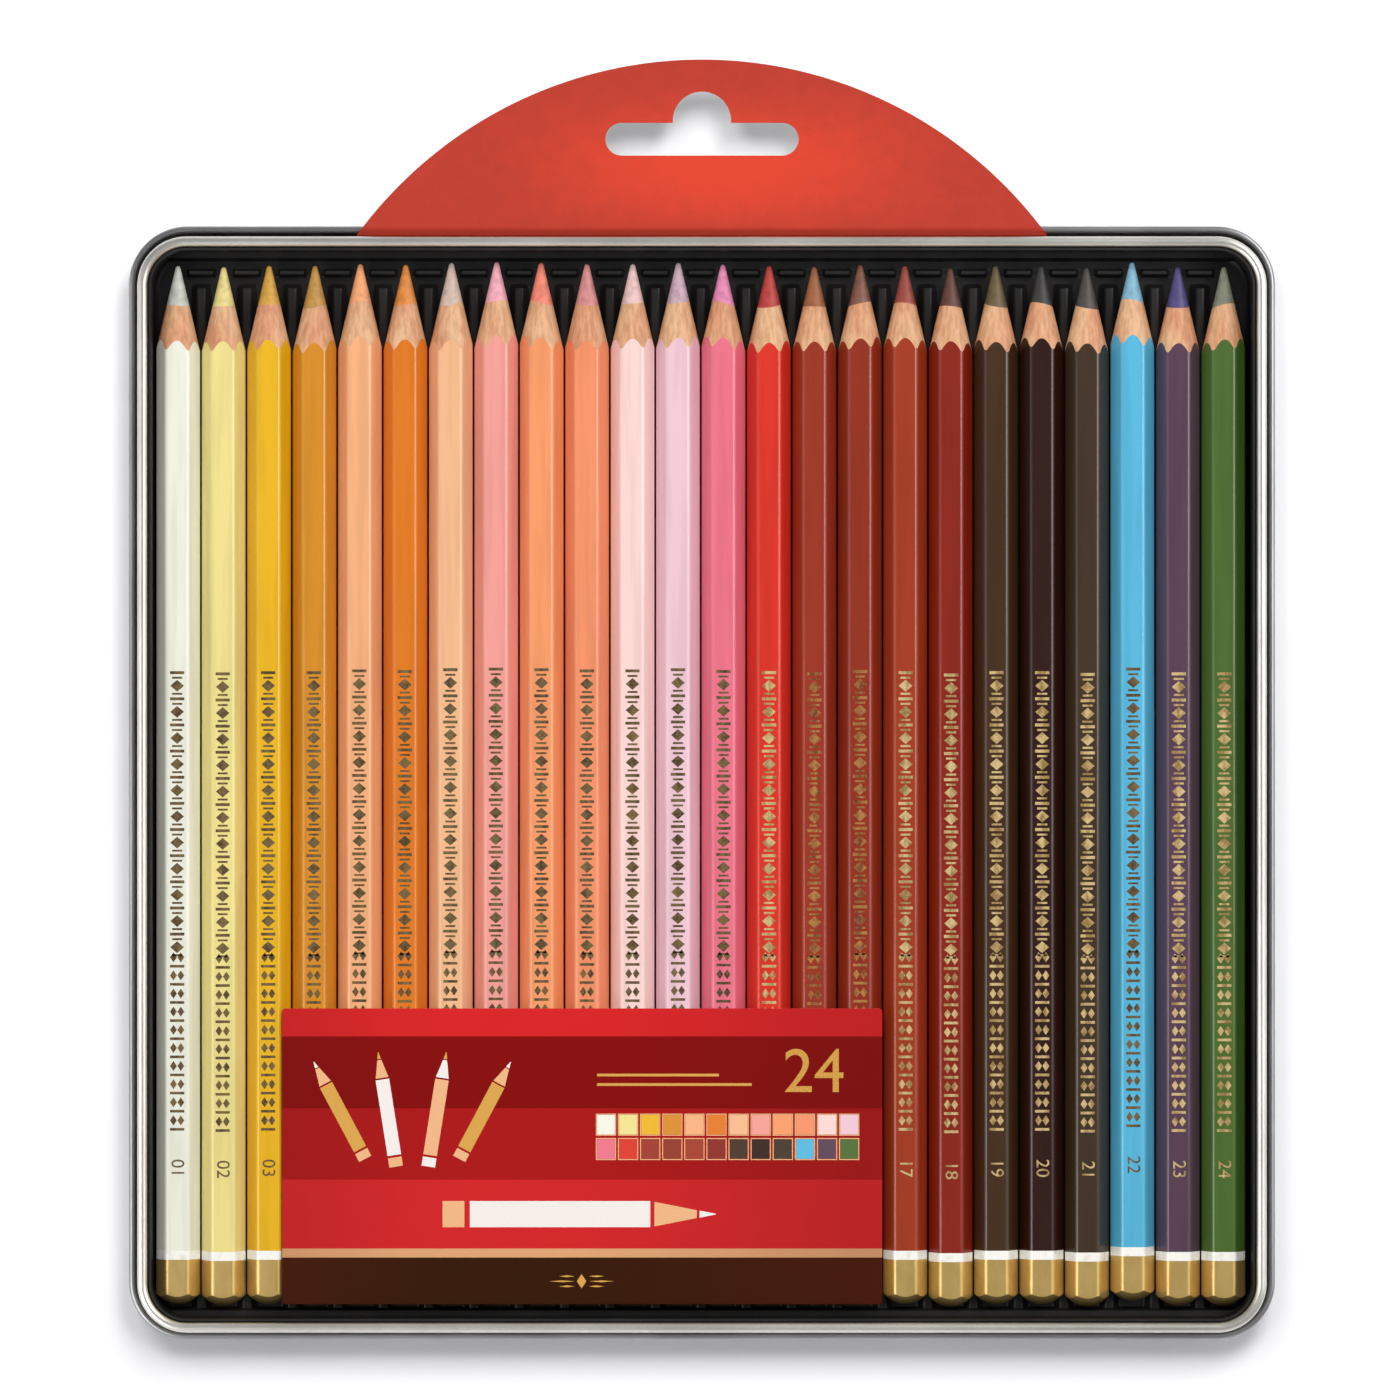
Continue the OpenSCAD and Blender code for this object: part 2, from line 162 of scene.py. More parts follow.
# The keys don't show in glossy surfaces, and the end walls and the strips show only there.
light("right_key", (0.26, 0.6, 1.2), (0.4, 0.6), 14.6).visible_glossy = False
light("left_key", (-0.3, 0.5, 1.2), (0.36, 0.6), 8.0).visible_glossy = False
light("left_wall", (-1.1, -0.35, 0.5), (1.6, 1.0), 0.8)
light("right_wall", (1.1, 0.35, 0.5), (1.6, 1.0), 0.75)
light("back_wall", (0, 1.3, 0.4), (2.2, 0.8), 0.35).visible_diffuse = False
light("front_wall", (0, -1.3, 0.4), (2.2, 0.8), 0.7).visible_diffuse = False
strips = [light("left_strip", (-0.55, -0.43, 0.62), (0.8, 0.4), 5.0, aim=(0, -0.43, 0)),
          light("right_strip", (0.55, 0.37, 0.62), (0.8, 0.4), 5.8, aim=(0, 0.37, 0))]
for strip in strips:
    strip.visible_diffuse = False

world = bpy.data.worlds.new("room_light")
world.use_nodes = True
world.node_tree.nodes["Background"].inputs["Color"].default_value = room_tone
bpy.context.scene.world = world

# The floor is open under the tin, a little inside the lid's edges, so that the underside can be seen.
lid_low, lid_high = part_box("tin_lid")
floor_rings = rectangle(-floor_reach, -floor_reach, 2 * floor_reach, 2 * floor_reach) \
    + rectangle(lid_low.x + window_inset, lid_low.y + window_inset,
                lid_high.x - lid_low.x - 2 * window_inset, lid_high.y - lid_low.y - 2 * window_inset)
floor_mesh = bpy.data.meshes.new("floor")
floor_mesh.from_pydata([(*corner, -floor_drop) for corner in floor_rings], [],
                       [(k, (k + 1) % 4, (k + 1) % 4 + 4, k + 4) for k in range(4)])
floor = bpy.data.objects.new("floor", floor_mesh)
bpy.context.scene.collection.objects.link(floor)
floor_finish = bpy.data.materials.new("floor_paper")
floor_finish.use_nodes = True
floor_finish.node_tree.nodes.clear()
wire = Wire(floor_finish.node_tree)
seen = (wire.node("LightPath", out="Is Camera Ray") + wire.node("LightPath", out="Is Glossy Ray")
        + wire.node("LightPath", out="Is Transmission Ray"))
paper = wire.node("BsdfDiffuse", {"Color": paint(*floor_tone)})
glow = wire.node("Emission", {"Color": (1, 1, 1, 1), "Strength": floor_glow})
mixed = wire.node("MixShader", {0: seen * glow_share, 1: paper, 2: glow})
wire.node("OutputMaterial", {"Surface": mixed}, out=None)
floor_mesh.materials.append(floor_finish)

# The lid: a shallow tinplate pan pressed from one sheet, with its rim curled outwards. It lies upturned
# under the base, so that its closed face is the lowest face of the tin.

lid_sheet = 0.3
lid_fold_r = 1.2
lid_curl_d = 1.2
lid_corner_r = 8.64
curl_open = 56
flat_guard = 0.4
join_reach = 0.0005 * mm


def finish(name, look, **sockets):
    """Principled material: fixed values go on its own sockets, and look() returns what varies."""
    made = bpy.data.materials.new(name)
    made.use_nodes = True
    shader = made.node_tree.nodes["Principled BSDF"]
    for key, value in {**sockets, **look(Wire(made.node_tree))}.items():
        socket = shader.inputs[key.replace("_", " ")]
        if isinstance(value, Wire):
            made.node_tree.links.new(value.socket, socket)
        else:
            socket.default_value = value
    return made


def box_mm(node):
    """A node's lowest and highest corners in millimetres."""
    return np.array(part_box(node)) / mm


def arc(middle, radius, start, end, steps):
    """Points of an arc, from its start angle to its end angle in degrees."""
    turn = np.radians(np.linspace(start, end, steps + 1))
    return np.array(middle) + radius * np.stack([np.cos(turn), np.sin(turn)], 1)


def round_outline(width, length, radius, steps=16):
    """Points and outward normals round a rectangle with round corners: four quarter arcs, joined."""
    turn = np.radians(np.concatenate([np.linspace(90 * k, 90 * k + 90, steps + 1) for k in range(4)]))
    quarter = np.repeat([(1, 1), (-1, 1), (-1, -1), (1, -1)], steps + 1, axis=0)
    normals = np.stack([np.cos(turn), np.sin(turn)], 1)
    return quarter * (np.array([width, length]) / 2 - radius) + radius * normals, normals


def carried(path, normals, section):
    """Grid of a section carried along a path: each point goes out along the normal, and up by its height."""
    plan = path[None] + section[:, None, :1] * normals[None]
    height = np.broadcast_to(section[:, None, 1:], plan.shape[:2] + (1,))
    return np.concatenate([plan, height], 2)


def capped(grid):
    """Grid whose first and last rows shrink to a point in their middles, which closes both ends."""
    ends = [np.broadcast_to(grid[k].mean(0), grid[k].shape) for k in (0, -1)]
    return np.concatenate([ends[0][None], grid, ends[1][None]])


def quads(rows, columns, wrap_rows, wrap_columns):
    """Corner numbers of a grid's cells, row by row; a wrapped direction closes on itself."""
    row = np.arange(rows if wrap_rows else rows - 1)[:, None]
    column = np.arange(columns if wrap_columns else columns - 1)[None]
    next_row, next_column = (row + 1) % rows, (column + 1) % columns
    return np.stack([row * columns + column, row * columns + next_column,
                     next_row * columns + next_column, next_row * columns + column], 2).reshape(-1, 4)


def piece(name, body, grids, finishes, nodes=(), wrap=(False, True), parts=(0,), crease=35):
    """Object from one or more grids in millimetres, joined where their points meet.

    parts gives the number of the finish for each row of cells, or one number for them all.
    """
    corners, cells, kinds, start = [], [], [], 0
    for grid in grids:
        rows, columns = grid.shape[:2]
        faces = quads(rows, columns, *wrap)
        kinds.append(np.repeat(parts, len(faces) // len(parts)))
        corners.append(grid.reshape(-1, 3))
        cells.append(faces + start)
        start += rows * columns
    mesh = bpy.data.meshes.new(name)
    mesh.from_pydata((np.concatenate(corners) * mm).tolist(), [], np.concatenate(cells).tolist())
    mesh.polygons.foreach_set("material_index", np.concatenate(kinds).astype(np.int32))
    for made in finishes:
        mesh.materials.append(made)
    return placed(name, mesh, body, nodes, crease)


def placed(name, mesh, body, nodes=(), crease=35):
    """Closes a mesh, turns its faces outwards, shades it and lets it ride on a body."""
    work = bmesh.new()
    work.from_mesh(mesh)
    bmesh.ops.remove_doubles(work, verts=work.verts, dist=join_reach)
    bmesh.ops.recalc_face_normals(work, faces=work.faces)
    work.to_mesh(mesh)
    work.free()
    mesh.shade_smooth()
    mesh.set_sharp_from_angle(angle=np.radians(crease))
    made = bpy.data.objects.new(name, mesh)
    bpy.context.scene.collection.objects.link(made)
    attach(made, body)
    if nodes:
        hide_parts(*nodes)
    return made


def pan_section(height, sheet, fold_r, curl_d):
    """Closed section of a pan's edge, with x = 0 on the wall's inner face.

    It runs up the inside, over the curl to its cut edge, back inside the curl and down the outside,
    and a guard at each end keeps the pan's closed face flat.
    """
    roll = (curl_d / 2, height - curl_d / 2)
    bend = (sheet - fold_r, fold_r)
    return np.concatenate([
        [[bend[0] - flat_guard, sheet]], arc(bend, fold_r - sheet, -90, 0, 6),
        arc(roll, curl_d / 2, 180, curl_open - 180, 22),
        arc(roll, curl_d / 2 - sheet, curl_open - 180, 180, 16),
        arc(bend, fold_r, 0, -90, 8), [[bend[0] - flat_guard, 0]],
    ])


def pan(name, node, sheet, fold_r, curl_d, corner_r, look):
    """Pan that fills its solid's box: the section goes round the inside of the walls."""
    low, high = box_mm(node)
    width, length, height = high - low
    path, normals = round_outline(width - 2 * curl_d, length - 2 * curl_d, corner_r)
    grid = carried(path, normals, pan_section(height, sheet, fold_r, curl_d))
    grid += [*(low + high)[:2] / 2, low[2]]
    return piece(name, node.replace("tin_", ""), [capped(grid)], [look], [node])


def tinplate_look(dull_tone, bright_tone):
    """Rolled sheet: faint lines along the rolling direction and cloudy dulling."""
    def look(wire):
        rolled = wire.noise((4, 0.05, 4), 4)
        cloud = wire.noise((0.06, 0.06, 0.06), 3)
        return {"Base Color": cloud.step(0.3, 0.7).mix(dull_tone, bright_tone),
                "Roughness": 0.34 + rolled * 0.08 + cloud * 0.06,
                "Normal": wire.bump(rolled, 0.05, 0.01)}
    return look


# The lid's tinplate is coloured much darker than the base's: painted shade, for a rim that lies in shadow.
shaded_lid_plate = finish("lid_tinplate_painted_shade", tinplate_look(paint(146, 146, 147), paint(160, 160, 161)), Metallic=1.0)
pan("lid_pan", "tin_lid", lid_sheet, lid_fold_r, lid_curl_d, lid_corner_r, shaded_lid_plate)

# The base: the deeper tinplate pan that stands in the lid and holds the tray. Its thicker curl is the
# bright bead round the pencils.

base_sheet = 0.3
base_fold_r = 1.2
base_curl_d = 1.7
base_corner_r = 6.6

base_plate = finish("base_tinplate", tinplate_look(paint(206, 204, 196), paint(220, 218, 210)), Metallic=1.0)
pan("base_pan", "tin_base", base_sheet, base_fold_r, base_curl_d, base_corner_r, base_plate)

# The hanger: red coated card. Its panel lies between lid and base, its leg stands inside the lid's wall,
# and the tab with the display slot turns on the leg's upper edge.

card_t = 0.4
card_bend_r = 1.6
panel_corner_r = 6
tab_r = 71.8
slot_w = 32.5
slot_h = 5.5
slot_rise = 16.1
lobe_r = 4.9
lobe_rise = 3.1
# Middle and half sizes of the painted pool of light round the slot, where the red is brighter.
light_pool_x = 4.0
light_pool_y = 104.0
light_pool_half_w = 46
light_pool_half_h = 15
# Band of painted shade where the card bends down at the crease, over a darker fold line.
crease_shade = (92.9, 93.9)
tiny = 1e-6
closest_turns = 1e-4
red_part, core_part, back_part = 0, 1, 2


def red_card_look(wire):
    """Red print on card, mottled, with a painted pool of light round the slot and painted shade at the crease,
    over a darker fold line.
    """
    across, up = wire.along("X"), wire.along("Y")
    # A painted pool of light: the red is brighter round the slot, mixed with the print's own mottle.
    side_share = wire.maths("ABSOLUTE", across - light_pool_x).step(0, light_pool_half_w)
    end_share = wire.maths("ABSOLUTE", up - light_pool_y).step(0, light_pool_half_h)
    glow = (1 - side_share) * (1 - end_share)
    mottle = wire.noise((0.35, 0.35, 0.35), 5, 0.65)
    grain = wire.noise((3.2, 3.2, 3.2), 3, 0.6)
    light_pool_and_mottle = (glow * 0.75 + mottle * 0.5).step(0.05, 1.0)
    red = light_pool_and_mottle.mix(paint(176, 58, 44), paint(222, 69, 45))
    speckled = (grain * 0.35).mix(red, paint(150, 46, 36))
    # Painted shade at the crease, over the fold line's own darker red.
    return {"Base Color": up.step(*crease_shade).mix(paint(146, 42, 28), speckled),
            "Roughness": 0.42 + grain * 0.14,
            "Normal": wire.bump(grain, 0.25, 0.02)}


def card_core_look(wire):
    """Cut edge of the card: pale fibres with a little of the red wiped over them."""
    fibre = wire.noise((5, 5, 9), 4, 0.7)
    return {"Base Color": fibre.mix(paint(232, 176, 162), paint(246, 222, 212)),
            "Roughness": 0.8 + fibre * 0.15,
            "Normal": wire.bump(fibre, 0.4, 0.03)}


def card_back_look(wire):
    """Unprinted back of the card: grey board with a few darker fibres."""
    fibre = wire.noise((2.5, 1.2, 2.5), 4, 0.7)
    return {"Base Color": fibre.step(0.3, 0.7).mix(paint(176, 174, 172), paint(200, 199, 198)),
            "Roughness": 0.75 + fibre * 0.15,
            "Normal": wire.bump(fibre, 0.3, 0.03)}


card_back = finish("card_back", card_back_look)
red_card = finish("red_card", red_card_look, Specular_IOR_Level=0.12)
card_core = finish("card_core", card_core_look)

(card_left, card_end, card_under), (card_right, leg_y, leg_top) = box_mm("hang_card")
bend_y, bend_z = leg_y - card_bend_r, card_under + card_bend_r
leg_line = np.concatenate([
    arc((bend_y, bend_z), card_bend_r, -90, 0, 8), [[leg_y, leg_top]],
    [[leg_y - card_t, leg_top]], arc((bend_y, bend_z), card_bend_r - card_t, 0, -90, 8),
])
leg = np.stack([np.insert(leg_line, 0, side, axis=1) for side in (card_left, card_right)])
panel_path, panel_normals = round_outline(card_right - card_left, 2 * (bend_y - card_end), panel_corner_r)
panel_path = panel_path + [(card_left + card_right) / 2, bend_y]
panel_section = np.array([[0, card_under], [0, card_under + card_t]])
panel = carried(panel_path, panel_normals, panel_section)
panel[..., 1] = np.minimum(panel[..., 1], bend_y)
piece("hanger_panel", "lid", [capped(leg), capped(panel)], [red_card], ["hang_card"], crease=25)


def ray_to_circle(turn, radius, rise):
    """Distance from the origin to a circle round (0, rise), along rays at the given angles."""
    up = rise * np.sin(turn)
    return up + np.sqrt(np.maximum(up ** 2 + radius ** 2 - rise ** 2, 0))


def slot_reach(turn):
    """Edge of the slot: the farther of a lobe over it and a bar with round ends, along each ray."""
    half, end_r = slot_w / 2 - slot_h / 2, slot_h / 2
    flat = end_r / np.maximum(np.abs(np.sin(turn)), tiny)
    along = half * np.abs(np.cos(turn))
    ends = along + np.sqrt(np.maximum(along ** 2 + end_r ** 2 - half ** 2, 0))
    bar = np.where(flat * np.abs(np.cos(turn)) < half, flat, ends)
    return np.maximum(bar, ray_to_circle(turn, lobe_r, lobe_rise))


def tab_reach(turn, crease, top):
    """Edge of the tab: the nearer of the arch and the straight crease, along each ray."""
    arch = ray_to_circle(turn, tab_r, top - tab_r)
    down = np.where(np.sin(turn) < -tiny, crease / np.minimum(np.sin(turn), -tiny), np.inf)
    return np.minimum(arch, down)


(tab_left, tab_start, tab_under), (tab_right, tab_end, tab_over) = box_mm("hang_tab")
crease_r = card_t / 2
tab_x = (tab_left + tab_right) / 2
crease_y = tab_start + crease_r
slot_y = crease_y + slot_rise
half_tab = np.sqrt(tab_r ** 2 - (tab_r - (tab_end - crease_y)) ** 2)
corner_turn = np.arctan2(-slot_rise, half_tab)
bar_turn = np.arctan2(slot_h / 2, slot_w / 2 - slot_h / 2)
bar_turns = np.linspace(-2 * bar_turn, 2 * bar_turn, 40)
turns = np.sort(np.mod(np.concatenate([
    np.linspace(0, 2 * np.pi, 240, endpoint=False), bar_turns, np.pi + bar_turns,
    [corner_turn, np.pi - corner_turn, bar_turn, -bar_turn, np.pi - bar_turn, np.pi + bar_turn],
]), 2 * np.pi))
turns = turns[np.append(np.diff(turns) > closest_turns, True)]
spokes = np.stack([np.cos(turns), np.sin(turns)], 1)
inner = slot_reach(turns)[:, None] * spokes
outer = tab_reach(turns, -slot_rise, tab_end - slot_y)[:, None] * spokes
shares = np.concatenate([[0, 0.012], np.linspace(0.05, 0.95, 8), [0.995, 1]])
face = inner[None] + shares[:, None, None] * (outer - inner)[None]
tab_rows = np.concatenate([face, face[::-1]])
levels = np.repeat([tab_over, tab_under], len(shares))
tab_grid = np.concatenate([tab_rows + [tab_x, slot_y],
                           np.broadcast_to(levels[:, None, None], tab_rows.shape[:2] + (1,))], 2)
tab_parts = np.full(len(tab_rows), red_part)
tab_parts[[len(shares) - 1, -1]] = core_part
tab_parts[len(shares):-1] = back_part
turn_line = arc((crease_y, (tab_under + tab_over) / 2), crease_r, 90, 270, 8)
roll = np.stack([np.insert(turn_line, 0, side, axis=1) for side in (tab_x - half_tab, tab_x + half_tab)])
piece("hanger_tab", "tab", [tab_grid], [red_card, card_core, card_back], ["hang_tab"],
      wrap=(True, True), parts=tab_parts, crease=40)
piece("hanger_tab_crease", "tab", [capped(roll)], [red_card], crease=40)

# The tray: thin black plastic, formed hot over a mould, with a groove for each pencil, a ledge across
# both ends and blocks between the tips. It stands loose in the base.

tray_sheet = 0.4
tray_draft = 0.15
tray_fold_r = 1.3
tray_corner_r = 6.4
ledge_top = 2.8
ledge_width = 1.6
ledge_foot = 0.3
ridge_height = 1.7
ridge_top = 1.4
ridge_back = 3.0
ridge_slope = np.tan(np.radians(60))
ridge_ease = 0.25
ridge_end_slope = 1.5
ridge_end_ease = 0.15
block_height = 2.6
block_width = 4.4
block_length = 1.15
block_back = 0.5
block_slope = 9
block_side_foot = 0.12
block_end_foot = 0.06
form_ease = 0.3
flange_width = 0.5
flange_thinning = 0.02
grid_inset = 0.3
wall_sink = 0.15
pencil_names = [f"pencil_{k:02d}" for k in range(1, 25)]
casing_boxes = np.array([box_mm(f"{name}_casing") for name in pencil_names])


def soft(value, ease):
    """0 below zero and the value itself above it, with a parabola between -ease and ease."""
    near = np.clip(value + ease, 0, 2 * ease) ** 2 / (4 * ease)
    return np.where(value > ease, value, near)


def plateau(inside, slope, height, ease):
    """Height of a raised form whose face climbs at a slope from where inside is zero, to a flat top."""
    climb = inside * slope
    return soft(climb, ease) - soft(climb - height, ease)


def tray_black_look(wire):
    """Black satin plastic: fine haze left by the mould, rubbed a little paler in places."""
    haze = wire.noise((1.6, 0.5, 1.6), 4, 0.6)
    rubbed = wire.noise((0.12, 0.09, 0.12), 4).step(0.45, 0.75)
    return {"Base Color": rubbed.mix(paint(22, 21, 20), paint(33, 31, 30)),
            "Roughness": 0.34 + haze * 0.22,
            "Normal": wire.bump(haze, 0.25, 0.03)}


tray_black = finish("tray_black", tray_black_look, Specular_IOR_Level=0.36)
tray_low, tray_high = box_mm("inner_tray")
tray_w, tray_l, tray_h = tray_high - tray_low
half_w, half_l = tray_w / 2, tray_l / 2
fold_middle = (-tray_draft - tray_fold_r, tray_fold_r)
flange = fold_middle[0] - flange_width
wall_section = np.concatenate([
    [[flange, 0]], arc(fold_middle, tray_fold_r, -90, 0, 8), [[0, tray_h], [-tray_sheet, tray_h]],
    arc(fold_middle, tray_fold_r - tray_sheet, 0, -90, 8), [[flange, tray_sheet - flange_thinning]],
])
path, normals = round_outline(tray_w, tray_l, tray_corner_r)
tray_wall = carried(path, normals, wall_section) + [0, 0, tray_low[2]]

# The sheet between the walls is a grid of heights, with its lines close together where a form rises.
pencil_xs = casing_boxes[:, :, 0].mean(1)
ridge_xs = (pencil_xs[1:] + pencil_xs[:-1]) / 2
tips_y = np.median([box_mm(f"{name}_core")[1, 1] for name in pencil_names])
half_offsets = np.array([0.0, 0.35, 0.6, 0.8, 1.0, 1.25, 1.5, 1.7, 1.85, 2.0, 2.1, 2.2, 2.3, 2.45])
offsets = np.concatenate([-half_offsets[:0:-1], half_offsets])
ridge_columns = (ridge_xs[:, None] + offsets[None]).reshape(-1)
edge_column = max(-ridge_columns[0], ridge_columns[-1])
margin = edge_column + (half_w - edge_column) * np.linspace(0, 1, 9)
columns = np.concatenate([-margin[::-1], ridge_columns[ridge_columns < edge_column - 0.01][1:], margin])
from_end = grid_inset + np.array([0.0, 0.35, 0.7, 1.1, 1.4, 1.5, 1.56, 1.62, 1.7, 1.8, 1.88, 1.94, 2.0, 2.1, 2.3])
from_block = np.array([-0.3, -0.1, 0, 0.08, 0.16, 0.3, 0.58, 0.85, 1.0, 1.08, 1.16, 1.3, 1.5])
from_ridge = np.array([-0.4, -0.2, 0, 0.2, 0.4, 0.7, 1.0, 1.3, 1.7])
rows = np.unique(np.concatenate([from_end - half_l, half_l - from_end, [0],
                                 tips_y - block_back - from_block, tips_y - ridge_back - from_ridge]))
across, along = np.meshgrid(columns, rows)
to_ridge = np.abs(across[..., None] - ridge_xs).min(-1)
to_block = np.abs(along - tips_y + block_back + block_length / 2)
ridge = plateau(ridge_top / 2 + ridge_height / ridge_slope - to_ridge, ridge_slope, ridge_height, ridge_ease)
ridge = ridge * np.clip(plateau(tips_y - ridge_back - along, ridge_end_slope, 1, ridge_end_ease), 0, 1)
block = np.minimum(plateau(block_width / 2 + block_side_foot - to_ridge, block_slope, block_height, form_ease),
                   plateau(block_length / 2 + block_end_foot - to_block, block_slope, block_height, form_ease))
ledge = plateau(np.abs(along) - half_l + ledge_width + ledge_foot, ledge_top / ledge_foot, ledge_top, form_ease)
rise = np.maximum(np.maximum(ridge, block), ledge)

# Each row of the grid ends inside the wall's sheet, also where that bends at the foot and the corners.
bend_r = tray_fold_r - tray_sheet
below_bend = np.clip(bend_r - ledge[:, 0], 0, None)
inset = tray_draft + tray_fold_r - np.sqrt(bend_r ** 2 - below_bend ** 2) - wall_sink
corner_y = np.clip(np.abs(rows) - half_l + tray_corner_r, 0, None)
reach = half_w - tray_corner_r + np.sqrt(np.clip((tray_corner_r - inset) ** 2 - corner_y ** 2, 0.01, None))
reach = reach[:, None]
out = np.clip((np.abs(across) - edge_column) / (half_w - edge_column), 0, 1)
spread = np.where(out > 0, edge_column + out * (reach - edge_column), np.abs(across))
thickness = np.full(across.shape, tray_sheet)
thickness[[0, -1]] = 0
thickness[:, [0, -1]] = 0
upper = np.stack([np.sign(across) * np.minimum(spread, reach), along, tray_low[2] + tray_sheet + rise], 2)
lower = upper - thickness[..., None] * [0, 0, 1]
piece("tray", "tray", [tray_wall], [tray_black], ["inner_tray"], wrap=(True, True), crease=30)
piece("tray_grooves", "tray", [upper, lower], [tray_black], wrap=(False, False), crease=50)

# The casings: two glued slats of light wood, milled six-sided with round edges, lacquered, ringed in
# white and dipped in gold at the tail, then sharpened to a cone. They lie loose in their grooves.

pencil_flats = 6.7
edge_r = 0.92
core_r = 1.9
bore_r = 1.92
cone_slope = np.tan(np.radians(13.2))
tip_r = 0.45
dip_len = 7.6
ring_len = 1.5
dip_skin = 0.03
ring_skin = 0.015
dome_over = 0.8
tail_flat_r = 0.7
tail_cap = 1.2
pencil_len = 175.0
corner_r = pencil_flats / 2 / np.cos(np.pi / 6)
edge_middle_r = corner_r - edge_r / np.cos(np.pi / 6)
dome_r = corner_r + dome_over
dome_at = np.sqrt(dome_r ** 2 - tail_flat_r ** 2)
cone_lean = np.arctan(cone_slope)
cone_at = pencil_len - tip_r + tip_r * np.sin(cone_lean) - (dome_r - tip_r * np.cos(cone_lean)) / cone_slope
lacquer_levels = [
    (241, 240, 224), (238, 222, 142), (234, 181, 38), (214, 141, 43), (244, 175, 126), (224, 123, 37),
    (242, 185, 140), (241, 159, 148), (245, 156, 105), (242, 147, 105), (251, 213, 207), (237, 197, 208),
    (234, 117, 136), (217, 56, 42), (156, 57, 40), (147, 54, 36), (162, 62, 38), (140, 43, 32),
    (71, 51, 35), (53, 32, 25), (68, 54, 41), (90, 183, 218), (91, 67, 84), (80, 109, 51),
]
gloss_share = 0.01
lacquer_depth = 0.94
darkest = 0.0015
step_len = 0.02
guard_len = 0.2
cone_guard = 0.15
cone_off = 0.12
cone_middles = np.random.default_rng(24).uniform(-cone_off, cone_off, (24, 2))


def casing_outline(skin):
    """Section of a casing: six arcs round the edges' middles, joined by flats cut into eight."""
    bend = np.radians(60 * np.arange(6)[:, None] + np.linspace(-30, 30, 7)[None])
    middle = np.radians(60 * np.arange(6))
    arcs = (edge_middle_r * np.stack([np.cos(middle), np.sin(middle)], 1)[:, None]
            + (edge_r - skin) * np.stack([np.cos(bend), np.sin(bend)], 2))
    share = np.linspace(0, 1, 9)[1:-1][None, :, None]
    flats = arcs[:, -1:] * (1 - share) + np.roll(arcs, -1, 0)[:, :1] * share
    return np.concatenate([arcs, flats], 1).reshape(-1, 2)


def cone_reach(section, middle):
    """Distance from the tail at which the sharpened cone passes through points of a section."""
    return cone_at + (dome_r - np.linalg.norm(section - middle, axis=1)) / cone_slope


def row(section, along):
    """Row of a pencil's grid: a section's points at their distances from the tail."""
    along = np.broadcast_to(along, len(section))
    return np.stack([section[:, 0], along, section[:, 1]], 1)


def casing_grid(middle):
    """Domed tail, dip, ring and lacquered length, then the cone round its own middle, and the bore.

    A row close to each end of the lacquered flats keeps them shaded flat.
    """
    dipped, ringed, lacquered = (casing_outline(skin) for skin in (0, dip_skin - ring_skin, dip_skin))
    unit = lacquered / np.linalg.norm(lacquered, axis=1, keepdims=True)
    reach_r = np.linalg.norm(dipped, axis=1, keepdims=True)
    made = []
    for share in (0, 0.25, 0.5, 0.7, 0.85, 0.95, 1):
        section = unit * (tail_flat_r + share * (reach_r - tail_flat_r))
        made.append(row(section, dome_at - np.sqrt(dome_r ** 2 - np.linalg.norm(section, axis=1) ** 2)))
    ring_end = dip_len + ring_len
    cone_edge = cone_reach(lacquered, middle)
    made += [row(dipped, dip_len - guard_len), row(dipped, dip_len), row(ringed, dip_len + step_len),
             row(ringed, ring_end), row(lacquered, ring_end + step_len), row(lacquered, ring_end + guard_len),
             row(lacquered, pencil_len / 2), row(lacquered, cone_edge - cone_guard), row(lacquered, cone_edge)]
    mouth = unit * bore_r
    for share in np.linspace(0, 1, 7)[1:]:
        section = lacquered + share * (mouth - lacquered)
        made.append(row(section, cone_reach(section, middle)))
    made.append(row(mouth, tail_cap))
    return capped(np.array(made))


dip_part, ring_part, lacquer_part, wood_part = 0, 1, 2, 3
casing_parts = np.array([dip_part] * 9 + [ring_part] * 2 + [lacquer_part] * 5 + [wood_part] * 8)


def lacquer_look(levels):
    """Thick glossy lacquer in one colour, barely clouded, with the waviness of many dipped coats.

    Its colour is that of a top facet on screen, less what the gloss adds there.
    """
    def look(wire):
        cloud = wire.noise((0.5, 0.03, 0.5), 3)
        wave = wire.noise((0.9, 0.12, 0.9), 3)
        colour = np.maximum(lacquer_depth * (np.array(paint(*levels))[:3] - gloss_share), darkest)
        return {"Base Color": cloud.step(0.35, 0.6).mix((*(colour * 0.9).tolist(), 1), (*colour.tolist(), 1)),
                "Roughness": 0.2 + cloud * 0.08,
                "Normal": wire.bump(wave, 0.1, 0.02)}
    return look


def wood_look(wire):
    """Sharpened light wood: streaks along the grain, paler and warmer patches, a tool's fine marks."""
    grain = wire.noise((1.7, 0.1, 1.7), 4, 0.55)
    tone = wire.noise((0.13, 0.05, 0.13), 3).step(0.38, 0.62)
    marks = wire.noise((0.5, 4.5, 0.5), 3)
    pale = tone.mix(paint(212, 152, 114), paint(220, 176, 136))
    dark = tone.mix(paint(188, 124, 86), paint(198, 150, 108))
    return {"Base Color": grain.step(0.32, 0.66).mix(dark, pale),
            "Roughness": 0.55 + grain * 0.2,
            "Normal": wire.bump(grain + marks * 0.6, 0.2, 0.04)}


def ring_look(wire):
    """White lacquer of the ring, a little thin in places."""
    thin = wire.noise((0.8, 0.5, 0.8), 3)
    return {"Base Color": thin.step(0.2, 0.5).mix(paint(222, 218, 204), paint(243, 241, 232)),
            "Roughness": 0.2 + thin * 0.12}


